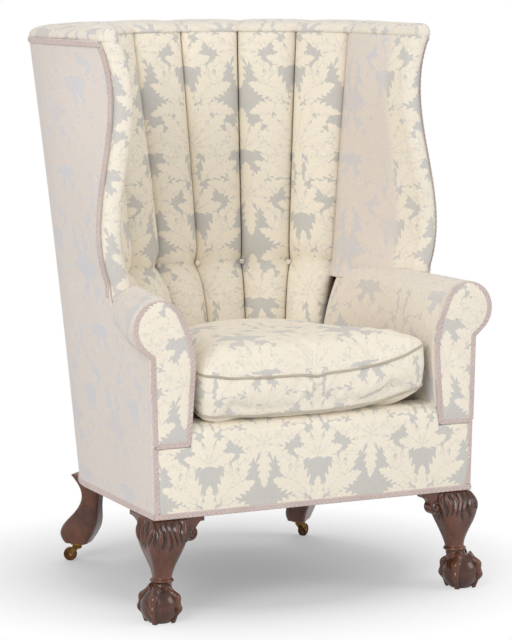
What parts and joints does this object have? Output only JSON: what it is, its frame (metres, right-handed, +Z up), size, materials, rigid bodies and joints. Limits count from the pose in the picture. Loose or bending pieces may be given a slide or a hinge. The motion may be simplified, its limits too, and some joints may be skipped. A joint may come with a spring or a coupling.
{
  "type": "tub chair",
  "caption": "High-backed upholstered tub chair with wings, fluted back, rolled arms, loose seat cushion, carved claw-and-ball front legs and castors on swept rear legs.",
  "frame": {"origin": "middle of the bottom of the box, on the floor under the chair", "axes": "+X to the sitter's left, +Y from the front of the seat to the back, +Z up"},
  "size_m": [0.8048, 0.7802, 1.13],
  "materials": {
    "damask": "woven floral damask, cream on pale grey-blue",
    "gimp": "woven braid",
    "piping": "corded welt",
    "deck_cloth": "plain weave",
    "canvas": "plain weave",
    "webbing": "jute webbing",
    "frame_wood": "sawn beech",
    "carved_wood": "dark polished and carved",
    "spring_steel": "coppered wire",
    "castor_brass": "aged",
    "castor_steel": "plain",
    "castor_wheel": "aged, worn rim"
  },
  "bodies": {
    "chair": {"front_seat_rail": "frame_wood", "seat_rail_left": "frame_wood", "seat_rail_right": "frame_wood", "rear_seat_rail": "frame_wood", "corner_blocks": "frame_wood", "arm_post_left": "frame_wood", "arm_post_right": "frame_wood", "arm_rail_left": "frame_wood", "arm_rail_right": "frame_wood", "back_post_left": "frame_wood", "back_post_right": "frame_wood", "wing_posts": "frame_wood", "wing_rails": "frame_wood", "crest_rail": "frame_wood", "stay_rail": "frame_wood", "front_leg_left": "carved_wood", "front_leg_right": "carved_wood", "knee_brackets": "carved_wood", "rear_leg_left": "carved_wood", "rear_leg_right": "carved_wood", "seat_webbing": "webbing", "seat_springs": "spring_steel", "spring_canvas": "canvas", "seat_deck": "deck_cloth", "back_webbing": "webbing", "back_flute_1": "damask", "back_flute_2": "damask", "back_flute_3": "damask", "back_flute_4": "damask", "back_flute_5": "damask", "back_flute_6": "damask", "wing_pad_left": "damask", "wing_pad_right": "damask", "arm_pad_left": "damask", "arm_pad_right": "damask", "arm_facing_left": "damask", "arm_facing_right": "damask", "top_roll": "damask", "front_border": "damask", "outside_back": "damask", "outside_arm_left": "damask", "outside_arm_right": "damask", "outside_wing_left": "damask", "outside_wing_right": "damask", "tuft_buttons": "damask", "dust_cover": "canvas", "hem_gimp": "gimp", "facing_gimp": "gimp", "edge_gimp": "gimp", "left_castor_plate": "castor_brass", "right_castor_plate": "castor_brass"},
    "cushion": {"seat_cushion": "damask", "cushion_piping": "piping"},
    "left_castor": {"left_castor_horn": "castor_brass", "left_castor_axle": "castor_steel"},
    "left_wheel": {"left_castor_wheel": "castor_wheel"},
    "right_castor": {"right_castor_horn": "castor_brass", "right_castor_axle": "castor_steel"},
    "right_wheel": {"right_castor_wheel": "castor_wheel"}
  },
  "joints": [
    {"name": "cushion_lift", "type": "slide", "parent": "chair", "child": "cushion", "axis": [0, -0.342, 0.9397], "range_m": [0, 0.3]},
    {"name": "left_castor_swivel", "type": "hinge", "parent": "chair", "child": "left_castor", "pos_m": [-0.262, 0.21784, 0.03], "axis": [0, 0, 1], "continuous": true},
    {"name": "left_wheel_roll", "type": "hinge", "parent": "left_castor", "child": "left_wheel", "pos_m": [-0.27715, 0.22556, 0.014], "axis": [-0.454, -0.891, 0], "continuous": true},
    {"name": "right_castor_swivel", "type": "hinge", "parent": "chair", "child": "right_castor", "pos_m": [0.262, 0.21784, 0.03], "axis": [0, 0, 1], "continuous": true},
    {"name": "right_wheel_roll", "type": "hinge", "parent": "right_castor", "child": "right_wheel", "pos_m": [0.27715, 0.22556, 0.014], "axis": [-0.454, 0.891, 0], "continuous": true}
  ]
}
